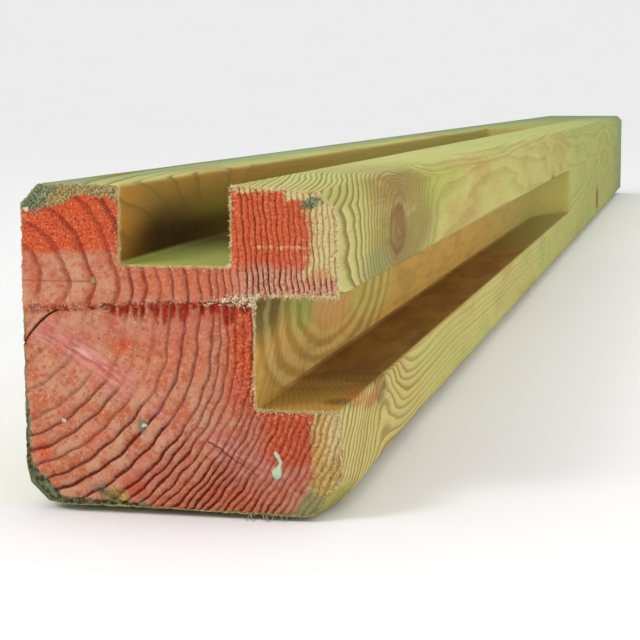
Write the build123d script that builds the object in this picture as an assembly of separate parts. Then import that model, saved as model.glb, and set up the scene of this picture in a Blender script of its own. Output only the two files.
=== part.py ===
from build123d import *
import math
import os

# Slotted corner post for a panel fence, lying on one of its two plain faces. The slots start at
# the painted end and stop half way, so that the stretch that goes into the ground stays whole.
# X runs across the post, Y along it from the painted end to the bare end, Z up.
# The origin is under the middle of the post, on the surface that it lies on.

# Driving dimensions, in millimetres
post_side = 94.0
post_length = 1800.0
arris_leg = 5.4  # leg of the chamfer that eases the four outer edges

# The two panel slots, one in the top face and one in the right face
slot_width = 32.6
top_slot_depth = 23.0
side_slot_depth = 24.4
slot_shift = -0.7  # both slots lie this far off the middle of their faces
root_radius = 0.9  # left by the cutter at the bottom of a slot
lip_ease = 0.7  # leg of the chamfer at a slot's mouth
slot_length = 900.0  # from the painted end to where the cutter left the timber
cutter_radius = 140.0  # of the grooving head, which leaves the floor of a slot curving up at its end

# The painted end was cut in two passes of the saw, which meet in a low step
saw_step = 1.0  # how far the lower pass lies behind the upper one
step_height_left = 57.6  # where the step starts on the left face
step_below_slot = 1.9  # how far under the side slot's top edge it ends

# Bottom corners of the painted end, knocked off where the post was stood down
left_knock_across = 11.6
left_knock_up = 11.2
right_knock_across = 9.4
right_knock_up = 13.0
knock_run = 46.0  # how far along the edge both knocks reach

# Drying check: a curved crack that opens on the left face at the painted end
check_low = 47.6  # height of its mouth on the left face
check_reach = 12.4  # how far it runs in from the left face
check_rise = 10.2  # how much higher its tip lies
check_bow = 2.2  # how far its middle bends upwards from a straight line
check_gape = 0.9  # width of the crack at its middle
check_run = 62.0  # how far along the post it runs on the left face
check_tip_run = 7.0  # how far along the post it runs at its tip

# Worked out from the sizes above
half_side = post_side / 2
near_end = -post_length / 2
slot_end = near_end + slot_length
clear = 5.0  # how far cutting shapes stand out of the timber


def facing_end(y, z=0.0):
    """A plane that is seen square on from the painted end, X to the right and Z up."""
    return Plane(origin=(0, y, z), x_dir=(1, 0, 0), z_dir=(0, -1, 0))


def slot_outline(depth):
    """A slot seen end on, open upwards: rounded roots, eased lips, its mouth at height 0."""
    half = slot_width / 2
    outline = Polyline(
        (-half - lip_ease - clear, clear),
        (-half, -lip_ease),
        (-half, -depth),
        (half, -depth),
        (half, -lip_ease),
        (half + lip_ease + clear, clear),
        close=True,
    )
    shape = make_face(outline)
    roots = shape.vertices().sort_by(Axis.Y)[:2]
    return fillet(roots, root_radius)


def cutter_path(depth):
    """What the grooving head sweeps, seen from the side: level, then leaving the timber on its own curve."""
    lift = cutter_radius - depth
    run_out = math.sqrt(cutter_radius**2 - lift**2)
    level_end = slot_end - run_out
    halfway = math.acos(lift / cutter_radius) / 2
    on_curve = (
        level_end + cutter_radius * math.sin(halfway),
        lift - cutter_radius * math.cos(halfway),
    )
    outline = [
        Polyline((slot_end, 0), (slot_end, clear), (near_end - clear, clear)),
        Polyline((near_end - clear, clear), (near_end - clear, -depth - clear)),
        Polyline((near_end - clear, -depth - clear), (level_end, -depth - clear), (level_end, -depth)),
        ThreePointArc((level_end, -depth), on_curve, (slot_end, 0)),
    ]
    lengthwise = Plane(origin=(0, 0, 0), x_dir=(0, 1, 0), z_dir=(1, 0, 0))
    return extrude(lengthwise * make_face(outline), amount=post_side, both=True)


def slot(depth):
    """The timber that one slot takes out: opening upwards at height 0, over the middle of the post."""
    bar = extrude(facing_end(0) * slot_outline(depth), amount=post_length / 2 + clear, both=True)
    return bar & cutter_path(depth)


def planed_post():
    """The machined timber at its full length, standing on the ground plane."""
    square = chamfer(Rectangle(post_side, post_side).vertices(), arris_leg)
    timber = extrude(facing_end(0, half_side) * square, amount=post_length / 2, both=True)
    top_slot = Pos(slot_shift, 0, post_side) * slot(top_slot_depth)
    side_slot = Pos(half_side, 0, half_side + slot_shift) * Rot(0, 90, 0) * slot(side_slot_depth)
    return timber - top_slot - side_slot


def second_saw_pass():
    """What the lower pass of the saw took away: a thin slab under a slightly rising line."""
    slot_top = half_side + slot_shift + slot_width / 2
    slot_root = half_side - side_slot_depth
    rise = (slot_top - step_below_slot - step_height_left) / (slot_root + half_side)
    outline = Polyline(
        (-half_side - clear, -clear),
        (half_side + clear, -clear),
        (half_side + clear, step_height_left + rise * (post_side + clear)),
        (-half_side - clear, step_height_left - rise * clear),
        close=True,
    )
    face = facing_end(near_end + saw_step) * make_face(outline)
    return extrude(face, amount=saw_step + clear)


def without_corner(body, side, across, up):
    """Knocks a bottom corner off the painted end. The break fades into the edge further along."""
    corner = Vector(side * half_side, near_end, 0)
    on_bottom = corner + Vector(-side * across, 0, 0)
    on_side = corner + Vector(0, 0, up)
    on_edge = corner + Vector(0, knock_run, 0)
    outwards = Vector(side / across, -1 / knock_run, -1 / up)
    break_plane = Plane(origin=on_bottom, x_dir=on_side - on_edge, z_dir=outwards)
    return split(body, bisect_by=break_plane, keep=Keep.BOTTOM)


def drying_check():
    """The crack, as the thin bent blade that fills it. Its floor slopes from mouth to tip."""
    mouth_x = -half_side
    tip = (mouth_x + check_reach, check_low + check_rise)
    mouth = (mouth_x, check_low)
    middle_x = mouth_x + check_reach / 2
    middle_z = check_low + check_rise / 2 + check_bow
    upper = ThreePointArc(mouth, (middle_x, middle_z + check_gape / 2), tip)
    lower = ThreePointArc(tip, (middle_x, middle_z - check_gape / 2), mouth)
    face = facing_end(near_end - clear) * make_face([upper, lower])
    blade = extrude(face, amount=-(clear + check_run))
    floor_line = Polyline(
        (mouth_x - clear, near_end - 2 * clear),
        (tip[0] + clear, near_end - 2 * clear),
        (tip[0], near_end + check_tip_run),
        (mouth_x, near_end + check_run),
        close=True,
    )
    reach = Pos(0, 0, check_low - check_rise) * make_face(floor_line)
    return blade & extrude(reach, amount=4 * check_rise)


def corner_post():
    """The whole post: machined timber, then what the saw, the drying and the knocks did to its end."""
    post = planed_post() - second_saw_pass()
    post = without_corner(post, -1, left_knock_across, left_knock_up)
    post = without_corner(post, 1, right_knock_across, right_knock_up)
    return post - drying_check()


os.makedirs("parts", exist_ok=True)
post = corner_post()
export_step(post, "parts/post.step")
print("post", round(post.volume / 1e6, 3), "litres")
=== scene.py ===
import functools
import math
import random

import bmesh
import bpy
from bpy.props import FloatProperty, FloatVectorProperty, IntProperty, PointerProperty
from mathutils import Euler, Matrix, Vector, noise


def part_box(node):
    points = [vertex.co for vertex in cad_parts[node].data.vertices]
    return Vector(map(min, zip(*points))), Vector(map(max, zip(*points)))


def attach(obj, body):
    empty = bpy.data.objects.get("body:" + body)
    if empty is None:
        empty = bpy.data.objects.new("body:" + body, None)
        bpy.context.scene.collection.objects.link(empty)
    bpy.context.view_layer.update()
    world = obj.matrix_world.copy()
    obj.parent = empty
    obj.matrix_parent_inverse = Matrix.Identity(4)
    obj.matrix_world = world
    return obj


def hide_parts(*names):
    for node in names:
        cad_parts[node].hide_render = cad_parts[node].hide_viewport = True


bl_info = {
    "name": "Slotted Corner Post",
    "version": (1, 0, 0),
    "blender": (4, 5, 0),
    "location": "3D View > Sidebar > Corner Post",
    "description": "Dresses a slotted timber post: painted sawn end, treated faces, torn fibres and a drip",
    "category": "Object",
}

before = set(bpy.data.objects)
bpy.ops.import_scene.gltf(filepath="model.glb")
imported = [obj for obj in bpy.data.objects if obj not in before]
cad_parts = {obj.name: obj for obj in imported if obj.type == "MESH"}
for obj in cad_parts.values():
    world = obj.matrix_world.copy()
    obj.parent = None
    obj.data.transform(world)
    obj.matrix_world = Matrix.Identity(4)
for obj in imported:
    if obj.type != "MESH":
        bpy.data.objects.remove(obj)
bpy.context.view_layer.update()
post_low, post_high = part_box("post")

# The post in the frame: X across it, Y along it from the painted end, Z up
MM = 0.001
SIDE = post_high.x - post_low.x
LENGTH = post_high.y - post_low.y
NEAR_END = post_low.y
LEFT_FACE = post_low.x
HALF_SIDE = SIDE / 2

# The share of a colour on the screen that its material gets, because the stage's light is bright
SHOWN = 0.86

# The photo's camera, fitted to the corners and edges of the post
CAMERA_PLACE = (0.145526, -1.391649, 0.118766)
CAMERA_TURN = (82.9258, 0.13156, 11.9141)
CAMERA_LENS = 101.2946
CAMERA_SENSOR = 36

# Order of the materials on the timber
PAINTED, PLANED, BARE = range(3)

# How many cells the bare end has across and up
BARE_CELLS = 24


def screen(red, green, blue):
    """A colour as a screen shows it, from 0 to 255, in the linear values that Blender works with."""
    def linear(value):
        value /= 255
        return SHOWN * (value / 12.92 if value < 0.04045 else ((value + 0.055) / 1.055) ** 2.4)
    return linear(red), linear(green), linear(blue)


def length(name, description, millimetres):
    return FloatProperty(name=name, description=description, default=millimetres * MM, unit="LENGTH")


def colour(name, description, red, green, blue):
    return FloatVectorProperty(
        name=name, description=description, default=screen(red, green, blue),
        subtype="COLOR", size=3, min=0, max=1)


class PostSizes(bpy.types.PropertyGroup):
    """Sizes of the machined section and of what the saw, the drying and the knocks did to its end."""
    arris_leg: length("Arris", "Leg of the chamfer on the four outer edges", 5.4)
    slot_width: length("Slot width", "Width of both panel slots", 32.6)
    top_slot_depth: length("Top slot depth", "How deep the slot in the top face is", 23.0)
    side_slot_depth: length("Side slot depth", "How deep the slot in the right face is", 24.4)
    slot_shift: length("Slot shift", "How far both slots lie off the middle of their faces", -0.7)
    root_radius: length("Root radius", "Rounding at the bottom of a slot", 0.9)
    lip_ease: length("Lip ease", "Leg of the small chamfer at a slot's mouth", 0.7)
    slot_length: length("Slot length", "From the painted end to where the cutter left the timber", 900.0)
    cutter_radius: length("Cutter radius", "Curve on which the floor of a slot rises at its end", 140.0)
    saw_step: length("Saw step", "How far the lower pass of the saw lies behind the upper one", 1.0)
    step_left: length("Step, left", "Height of the saw step on the left face", 57.6)
    step_right: length("Step, right", "Height of the saw step at the root of the side slot", 60.7)
    left_knock_across: length("Left knock across", "How far the left bottom corner is knocked off", 11.6)
    left_knock_up: length("Left knock up", "How far the left bottom corner is knocked off, upwards", 11.2)
    right_knock_across: length("Right knock across", "How far the right bottom corner is knocked off", 9.4)
    right_knock_up: length("Right knock up", "How far the right bottom corner is knocked off, upwards", 13.0)
    left_knock_run: length("Left knock run", "How far along the post the left knock reaches", 6.0)
    right_knock_run: length("Right knock run", "How far along the post the right knock reaches", 46.0)
    check_low: length("Check mouth", "Height of the drying check on the left face", 47.6)
    check_reach: length("Check reach", "How far the drying check runs in from the left face", 12.4)
    check_rise: length("Check rise", "How much higher the tip of the check lies", 10.2)
    check_gape: length("Check gape", "Width of the check at its middle", 0.9)
    check_run: length("Check run", "How far along the left face the check runs", 62.0)


class PostMesh(bpy.types.PropertyGroup):
    """How finely the timber is divided, and how many loose details it gets."""
    cell: length("Cell", "Width of a mesh cell far from the painted end", 2.2)
    fine_run: length("Fine run", "Length beside the painted end with cells of half the size", 44.0)
    finest_run: length("Finest run", "Length beside the painted end with cells of a quarter of the size", 8.9)
    longest_row: length("Longest row", "Length of the longest cells along the post", 26.0)
    slot_row: length("Slot row", "Length of the cells where the slots run out", 6.0)
    fibres: FloatProperty(name="Fibres", description="Torn fibres per point of the rim", default=1.6, min=0)
    seed: IntProperty(name="Seed", description="Where the scatter of loose details starts", default=7)


class PostColours(bpy.types.PropertyGroup):
    """Colours of the end paint, the bare wood and the treated faces, as the stage's soft light shows them."""
    strong_paint: colour("Strong paint", "End paint where it is thick", 214, 88, 50)
    # The next two colours are painted glints on the thick paint and its pits darkened partly as painted shade
    paint_glint: colour("Bright paint", "Flecks where thick paint catches the light", 232, 134, 94)
    pit_paint_and_shade: colour("Deep paint", "Pits in the thick paint", 148, 38, 18)
    worn_paint: colour("Worn paint", "End paint half worn away", 202, 112, 78)
    thin_paint: colour("Thin paint", "End paint that only tints the wood", 212, 154, 122)
    paint_line: colour("Paint line", "Late wood under paint", 122, 44, 26)
    thin_line: colour("Thin line", "Late wood under thin paint", 132, 70, 50)
    streak: colour("Streak", "Pink ray from the heart of the tree", 198, 108, 100)
    notch: colour("Notch", "Fresh paint in the torn notches under the saw step", 214, 52, 34)
    bare_wood: colour("Bare wood", "End grain with no paint", 222, 202, 140)
    bare_line: colour("Bare line", "Late wood with no paint", 140, 100, 46)
    golden_wood: colour("Golden wood", "End grain stained golden on the lower lip", 206, 150, 66)
    lichen: colour("Lichen", "Yellow-green bloom on the outer edges of the painted end", 178, 176, 120)
    teal_lichen: colour("Teal lichen", "Blue-green mottling at the corners", 112, 134, 104)
    dark_lichen: colour("Dark lichen", "Growth in the wet bottom corners", 52, 58, 34)
    torn_fibre: colour("Torn fibre", "Pale fibres torn up by the saw", 232, 214, 164)
    early_wood: colour("Early wood", "Treated timber between the rings", 206, 198, 116)
    late_wood: colour("Late wood", "Rings on the treated faces", 138, 122, 46)
    tan_wood: colour("Tan wood", "Treated timber where the stain is thin", 186, 148, 76)
    green_stain: colour("Green stain", "Treated timber where the stain is strong", 160, 176, 92)
    mint_stain: colour("Mint stain", "Bloom of the stain along the edges", 150, 184, 136)
    # Inside the slots the timber is browner and the floor of the side slot darkest: partly its own colour,
    # partly painted shade
    slot_wood_and_shade: colour("Slot wood", "Timber inside the slots", 186, 142, 58)
    slot_floor_wood_and_shade: colour("Deep wood", "Timber on the floor of the side slot", 116, 74, 8)
    slot_line_and_shade: colour("Slot line", "Rings inside the slots", 116, 80, 22)
    knot_wood: colour("Knot", "Core of a knot", 124, 84, 38)
    drip: colour("Drip", "Mint drip of masonry paint", 205, 223, 190)


def either(operation, plain):
    """A function that works on plain numbers and on readings alike."""
    def work(*terms):
        if any(isinstance(term, Reading) for term in terms):
            return calculate(operation, *terms)
        return plain(*terms)
    return work


def calculate(operation, *terms):
    """One step of arithmetic in a material, between readings and plain numbers."""
    finish = next(term.finish for term in terms if isinstance(term, Reading))
    return finish.node("ShaderNodeMath", {"operation": operation}, dict(enumerate(terms)))


def worked(operation, turned=False):
    """A method for one sign of arithmetic, turned round where the reading stands on its right."""
    def work(self, other):
        return calculate(operation, *((other, self) if turned else (self, other)))
    return work


class Reading:
    """What one socket of a material says at a point of the surface, worked with like a number."""

    def __init__(self, finish, socket):
        self.finish = finish
        self.socket = socket

    __add__ = __radd__ = worked("ADD")
    __mul__ = __rmul__ = worked("MULTIPLY")
    __sub__ = worked("SUBTRACT")
    __rsub__ = worked("SUBTRACT", turned=True)
    __truediv__ = worked("DIVIDE")
    __rtruediv__ = worked("DIVIDE", turned=True)

    def __neg__(self):
        return self * -1

    def under(self, share, *tone):
        """This colour with that share of another over it, which may be three numbers as a screen shows it."""
        return self.finish.mixed(share, self, screen(*tone) if len(tone) == 3 else tone[0])


sine = either("SINE", math.sin)
root = either("SQRT", math.sqrt)
growth = either("EXPONENT", math.exp)
larger = either("MAXIMUM", max)
smaller = either("MINIMUM", min)
bearing = either("ARCTAN2", math.atan2)
whole = either("FLOOR", math.floor)
size_of = either("ABSOLUTE", abs)


def largest(*terms):
    return functools.reduce(larger, terms)


def fade(value, low, high):
    """Rises smoothly from 0 where the value is low to 1 where it is high, or falls where low is larger."""
    share = smaller(larger((value - low) / (high - low), 0), 1)
    return share * share * (3 - 2 * share)


# The tree that the post was cut from, in mm from its left face, its painted end and its bottom face
HEART_ACROSS = -14.9
HEART_UP = 67.0
SQUASH_BELOW = 0.95
STRETCH_ABOVE = 1.73
STRETCH_FADES = 85.4
LEAN_BELOW = 0.00128
BULGE = 1.55 / 60
BULGE_BEARING = -0.215
BULGE_SPREAD = 0.31
BULGE_UP = 49.0
DENT_DEEP = 2.0
DENT_BEARING = -0.045
DENT_SPREAD = 0.12

# Where the rings get narrower, as the reach it starts at, and how many more rings a mm there are from there
CROWDING = ((21.2, 0.138), (43.0, 0.110), (71.2, 0.198), (82.4, 0.177))
FIRST_RING = -1

# Knots as height of the branch's axis on the right face, distance along the post, swirl of the rings
# round it in mm, how far the swirl spreads, half height of the core, darkness of the core
KNOTS = (
    (75.0, 100.0, 21.0, 26.0, 7.5, 0.55),
    (27.5, 66.0, 12.0, 19.0, 4.2, 0.6),
    (58.0, 742.0, 11.0, 17.0, 6.5, 0.8),
    (20.0, 1280.0, 12.0, 20.0, 7.5, 0.85),
)
KNOT_SLANT = 0.5


def knot_distance(across, along, up, knot):
    """Distance from the axis of a knot, a slanting branch that runs outwards from the heart of the tree."""
    height, place, *_ = knot
    rise = (height - HEART_UP) / (SIDE / MM - HEART_ACROSS)
    off_axis = (up - HEART_UP - (across - HEART_ACROSS) * rise) * math.cos(math.atan(rise))
    off_place = (along - place) * KNOT_SLANT
    return root(off_axis * off_axis + off_place * off_place)


def ring_reach(across, up):
    """How far out in the tree a point grew, in mm. The rings are egg-shaped and swirl round the knots."""
    x = across - HEART_ACROSS
    y = up - HEART_UP
    above = larger(y, 0) * growth(x * (-1 / STRETCH_FADES)) * STRETCH_ABOVE
    below = smaller(y, 0)
    height = above + below * SQUASH_BELOW
    reach = root(x * x + height * height)
    turned = (bearing(up - BULGE_UP, across + 0.2) - BULGE_BEARING) / BULGE_SPREAD
    reach = reach - growth(-(turned * turned)) * reach * BULGE
    reach = reach + below * x * LEAN_BELOW
    turned = (bearing(y, x) - DENT_BEARING) / DENT_SPREAD
    reach = reach - growth(-(turned * turned)) * fade(reach, 22, 30) * fade(reach, 76, 66) * DENT_DEEP
    return reach + sine(across * 0.61 + up * 0.37) * 0.16 + sine(up * 0.83 - across * 0.29) * 0.14


def grown_reach(across, along, up):
    """The same away from the painted end, where the tree tapers, wanders and swirls round its knots."""
    away = 1 - growth(along * -0.03)
    y = up - HEART_UP
    wander = along * 0.007 + y * y * 0.0035
    wander = wander + sine(along / 151 + up / 70) * 1.5 + sine(along / 53 + across / 40 + 1.3) * 0.5
    wander = wander + sine(along / 19 + up / 13) * 0.12
    for knot in KNOTS:
        _, _, swirl, spread, *_ = knot
        share = knot_distance(across, along, up, knot) / spread
        wander = wander + growth(-(share * share)) * fade(across, 8, 36) * swirl
    return ring_reach(across, up) + away * wander


def ring_lines(reach, breadth):
    """The dark late wood that ends each ring, the soft darkening before it, and the number of the ring."""
    count, crowding = FIRST_RING, 0
    for place, (start, more) in enumerate(CROWDING):
        beyond = reach - start
        count = count + (larger(beyond, 0) if place else beyond) * more
        crowding = crowding + (fade(reach, start - 0.7, start + 0.7) * more if place else more)
    ring = whole(count)
    short = (1 - count + ring) / crowding
    width = (0.78 + 0.09 / crowding) * breadth
    line = fade(short, width, width * 0.35)
    lead = fade(short, width * 2.4, 0.0)
    return line, lead, ring


def measured(co):
    """A place on the post as across, along and up, in mm from its left face, painted end and bottom."""
    return (co.x - LEFT_FACE) / MM, (co.y - NEAR_END) / MM, co.z / MM


def cut(bm, place, normal, drop_outside=False):
    """Cuts the whole mesh along a plane, and may drop what lies on the side that its normal looks to."""
    geometry = bm.verts[:] + bm.edges[:] + bm.faces[:]
    bmesh.ops.bisect_plane(
        bm, geom=geometry, dist=1e-7, plane_co=place, plane_no=normal, clear_outer=drop_outside)


def split_large(bm):
    """Cuts faces with more than four corners into triangles."""
    bmesh.ops.triangulate(bm, faces=[f for f in bm.faces if len(f.verts) > 4])


def stations(lines, step):
    """The given lines, with the stretches between them divided evenly into steps."""
    for low, high in zip(lines, lines[1:]):
        parts = math.ceil((high - low) / step - 1e-6)
        for part in range(parts):
            yield low + (high - low) * part / parts
    yield lines[-1]


def slot_walls(sizes):
    """The planes of both slots: left and right wall and floor of the top one, then of the side one."""
    middle = HALF_SIDE + sizes.slot_shift
    half = sizes.slot_width / 2
    top = (sizes.slot_shift - half, sizes.slot_shift + half, SIDE - sizes.top_slot_depth)
    side = (middle - half, middle + half, HALF_SIDE - sizes.side_slot_depth)
    return top, side


def section_face(bm, sizes):
    """The post seen end on, as one flat face at the painted end that looks away from the post."""
    bmesh.ops.create_grid(bm, x_segments=1, y_segments=1, size=HALF_SIDE)
    bmesh.ops.rotate(bm, verts=bm.verts, cent=(0, 0, 0), matrix=Matrix.Rotation(math.pi / 2, 3, "X"))
    bmesh.ops.translate(bm, verts=bm.verts, vec=(0, NEAR_END, HALF_SIDE))
    for across in (-1, 1):
        for up in (-1, 1):
            corner = Vector((across * HALF_SIDE, 0, HALF_SIDE + up * HALF_SIDE))
            cut(bm, corner - Vector((across * sizes.arris_leg, 0, 0)), (across, 0, up), drop_outside=True)
    (left, right, floor), (low, high, back) = slot_walls(sizes)
    for across in (left, right, back):
        cut(bm, (across, 0, 0), (1, 0, 0))
    for up in (floor, low, high):
        cut(bm, (0, 0, up), (0, 0, 1))
    in_slots = []
    for face in bm.faces:
        middle = face.calc_center_median()
        in_top = left < middle.x < right and middle.z > floor
        in_side = low < middle.z < high and middle.x > back
        if in_top or in_side:
            in_slots.append(face)
    bmesh.ops.delete(bm, geom=in_slots, context="FACES")
    bmesh.ops.dissolve_limit(bm, angle_limit=math.radians(1), verts=bm.verts, edges=bm.edges)

    def corners(places):
        return [v for v in bm.verts for x, z in places if math.hypot(v.co.x - x, v.co.z - z) < 1e-5]

    roots = corners([(left, floor), (right, floor), (back, low), (back, high)])
    lips = corners([(left, SIDE), (right, SIDE), (HALF_SIDE, low), (HALF_SIDE, high)])
    for verts, offset, segments in ((roots, sizes.root_radius, 3), (lips, sizes.lip_ease, 1)):
        bmesh.ops.bevel(
            bm, geom=verts, offset=offset, segments=segments, profile=0.5, affect="VERTICES", material=-1)


def divide_section(bm, sizes, mesh):
    """Cuts the end face into cells whose lines carry on the walls of the slots."""
    (left, right, floor), (low, high, back) = slot_walls(sizes)
    leg = sizes.arris_leg
    across_lines = (-HALF_SIDE, leg - HALF_SIDE, left, right, back, HALF_SIDE - leg, HALF_SIDE)
    up_lines = (0, leg, low, high, floor, SIDE - leg, SIDE)
    for across in list(stations(across_lines, mesh.cell))[1:-1]:
        cut(bm, (across, 0, 0), (1, 0, 0))
    for up in list(stations(up_lines, mesh.cell))[1:-1]:
        cut(bm, (0, 0, up), (0, 0, 1))
    bmesh.ops.remove_doubles(bm, verts=bm.verts, dist=0.08 * MM)
    split_large(bm)


def measure_girth(bm):
    """Writes on each outline point how far round the section it lies, and gives back the whole way round."""
    girth = bm.verts.layers.float.new("girth")
    start = min((v for v in bm.verts if v.is_boundary), key=lambda v: (v.co.z, v.co.x))
    here, before, run = start, None, 0.0
    while True:
        here[girth] = run
        steps = [e for e in here.link_edges if e.is_boundary and e is not before]
        step = max(steps, key=lambda e: e.other_vert(here).co.x) if before is None else steps[0]
        run += step.calc_length()
        here, before = step.other_vert(here), step
        if here is start:
            return run


def rise_length(depth, sizes):
    """How long the stretch is on which the floor of a slot rises on the curve of the cutter."""
    return root(sizes.cutter_radius ** 2 - (sizes.cutter_radius - depth) ** 2)


def row_places(sizes, mesh):
    """Distances along the post of the rows of cells: even near the painted end, then longer and longer,
    and short again where the slots run out."""
    rows = list(stations((0, mesh.fine_run), mesh.cell))[1:]
    step, place = mesh.cell, mesh.fine_run
    run_out = sizes.slot_length - rise_length(sizes.side_slot_depth, sizes)
    while place + step < LENGTH - step:
        place += step
        if not run_out - step < place < sizes.slot_length + step:
            rows.append(place)
        step = min(step * 1.07, mesh.longest_row)
    return sorted([*rows, *stations((run_out, sizes.slot_length), mesh.slot_row)])


def extrude_post(bm, sizes, mesh):
    """Pulls the end face out to the full length, then cuts the sides into rows of cells."""
    end_faces = bm.faces[:]
    made = bmesh.ops.extrude_face_region(bm, geom=end_faces)["geom"]
    verts = [g for g in made if isinstance(g, bmesh.types.BMVert)]
    bmesh.ops.translate(bm, verts=verts, vec=(0, LENGTH, 0))
    for row in row_places(sizes, mesh):
        cut(bm, (0, NEAR_END + row, 0), (0, 1, 0))
    for face in bm.faces:
        along = [v.co.y for v in face.verts]
        flat = max(along) - min(along) < 1e-6
        face.material_index = PLANED if not flat else PAINTED if along[0] < 0 else BARE
    bmesh.ops.recalc_face_normals(bm, faces=bm.faces)


def slot_share(along, depth, sizes):
    """How much of a slot's depth is left at a distance along the post."""
    beyond = along - sizes.slot_length + rise_length(depth, sizes)
    if beyond <= 0:
        return 1.0
    left = root(max(0.0, sizes.cutter_radius ** 2 - beyond ** 2)) - (sizes.cutter_radius - depth)
    return max(0.0, left) / depth


def end_slots(bm, sizes):
    """Lets both slots run out, so that the post is whole from there to its bare end."""
    (left, right, floor), (low, high, back) = slot_walls(sizes)
    slack = 1e-5
    for vert in bm.verts:
        co = vert.co
        if left - slack < co.x < right + slack and co.z > floor - slack:
            co.z = SIDE - (SIDE - co.z) * slot_share(co.y - NEAR_END, SIDE - floor, sizes)
        elif low - slack < co.z < high + slack and co.x > back - slack:
            co.x = HALF_SIDE - (HALF_SIDE - co.x) * slot_share(co.y - NEAR_END, HALF_SIDE - back, sizes)
    bmesh.ops.delete(bm, geom=[f for f in bm.faces if f.material_index == BARE], context="FACES")
    far = [v for v in bm.verts if v.co.y > NEAR_END + sizes.slot_length / 2]
    bmesh.ops.remove_doubles(bm, verts=far, dist=1e-6)
    rim = [e for e in bm.edges if e.is_boundary]
    for face in bmesh.ops.contextual_create(bm, geom=rim)["faces"]:
        face.material_index = BARE
    for line in range(1, BARE_CELLS):
        for way in ((1, 0, 0), (0, 0, 1)):
            faces = [f for f in bm.faces if f.material_index == BARE]
            edges = dict.fromkeys(e for f in faces for e in f.edges)
            verts = dict.fromkeys(v for f in faces for v in f.verts)
            place = (LEFT_FACE + SIDE * line / BARE_CELLS, 0, SIDE * line / BARE_CELLS)
            bmesh.ops.bisect_plane(bm, geom=[*verts, *edges, *faces], dist=1e-7, plane_co=place, plane_no=way)
    bmesh.ops.recalc_face_normals(bm, faces=bm.faces)


def refine(bm, chosen):
    """Halves every edge between two chosen points."""
    edges = [e for e in bm.edges if chosen(e.verts[0].co) and chosen(e.verts[1].co)]
    bmesh.ops.subdivide_edges(bm, edges=edges, cuts=1, use_grid_fill=True)
    split_large(bm)


# How far the middle of the drying check bends upwards from a straight line
CHECK_BOW = 2.2 * MM

# Height of the saw step at the left face and its rise for each mm across, as the paint shows it, in mm
SEAM_UP = 58.2
SEAM_RISE = (61.3 - SEAM_UP) / 69.6


def check_line(sizes):
    """Points along the drying check on the end face, in mm, from its mouth on the left face to its tip."""
    points = []
    for part in range(25):
        share = part / 24
        across = sizes.check_reach * share
        up = sizes.check_low + sizes.check_rise * share + CHECK_BOW * 4 * share * (1 - share)
        gape = sizes.check_gape / MM / 2 * (0.1 + 0.5 * math.sin(math.pi * (0.3 + 0.7 * share)))
        points.append((across / MM, up / MM, gape))
    return points


def hairline():
    """Points along the hairline crack that follows the pink ray, in mm, and its half width."""
    points = []
    for part in range(33):
        share = part / 32
        across = 55.6 + 14.2 * share
        up = 19.9 - 7.6 * share - 1.4 * share * share
        up += 0.3 * math.sin(share * 9)
        up += 0.15 * math.sin(share * 31)
        points.append((across, up, 0.16 * math.cos(share * 1.3)))
    return points


def opening(points, across, up):
    """How deep in a crack a place lies, from 0 beside it to 1 in its middle."""
    deepest = 0.0
    for a, b, half in points:
        if abs(a - across) < 1.5 and abs(b - up) < 1.5:
            away = math.hypot(a - across, b - up)
            deepest = max(deepest, 1 - fade(away, half * 0.6, half * 1.5 + 0.1))
    return deepest


def grain(across, along, up, scale, shift=0.0):
    """Smooth seeded noise from -1 to 1, with features about that many mm wide."""
    return noise.noise(Vector((across / scale + shift, along / scale, up / scale - shift)))


def notch_reach(across):
    """How far down the notches that the saw tore under its step reach, in mm: fingers between the rings."""
    finger = sine(across * 2.1 + sine(across * 0.71) * 1.2)
    long = sine(across * 0.93 + 0.6) * 1.5 + sine(across * 0.37 + 4.0) * 1.4 + 4.8
    left = fade(across, 4.0, 9.0) * 0.3 + fade(across, 24.0, 34.0) * 0.7
    return fade(finger, -0.5, -0.1) * long * left * fade(across, 71.0, 66.0)


def step_height(across, sizes):
    """Height of the saw step at that distance from the left face, in mm, with its torn wobble."""
    root_at = (SIDE - sizes.side_slot_depth) / MM
    rise = (sizes.step_right - sizes.step_left) / MM
    line = sizes.step_left / MM + rise * across / root_at
    return line + 0.7 * grain(across, 0, 3.0, 5.0) + 0.45 * grain(across, 0, 9.0, 1.6)


# Patches of the end face that the saw left rough, as across, up, half width, half height, roughness
ROUGH_PATCHES = (
    (14.0, 85.0, 18.0, 10.0, 1.0),
    (67.0, 48.0, 4.0, 16.0, 0.9),
    (78.0, 90.0, 20.0, 7.0, 0.9),
    (90.0, 80.0, 6.0, 14.0, 0.8),
    (90.0, 18.0, 7.0, 14.0, 1.0),
    (40.0, 60.0, 34.0, 2.6, 1.0),
    (84.0, 4.0, 12.0, 6.0, 0.9),
    (12.0, 5.0, 14.0, 7.0, 0.9),
    (44.0, 1.0, 44.0, 3.0, 0.8),
)


# Depths on the painted end, in mm: of the drying check, the hairline crack, the torn notches, the chip in the
# bottom edge and the crescent on the right block
CHECK_DEEP, HAIR_DEEP, NOTCH_DEEP, CHIP_DEEP, CRESCENT_DEEP = 2.4, 0.6, 0.8, 2.0, 0.7


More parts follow.
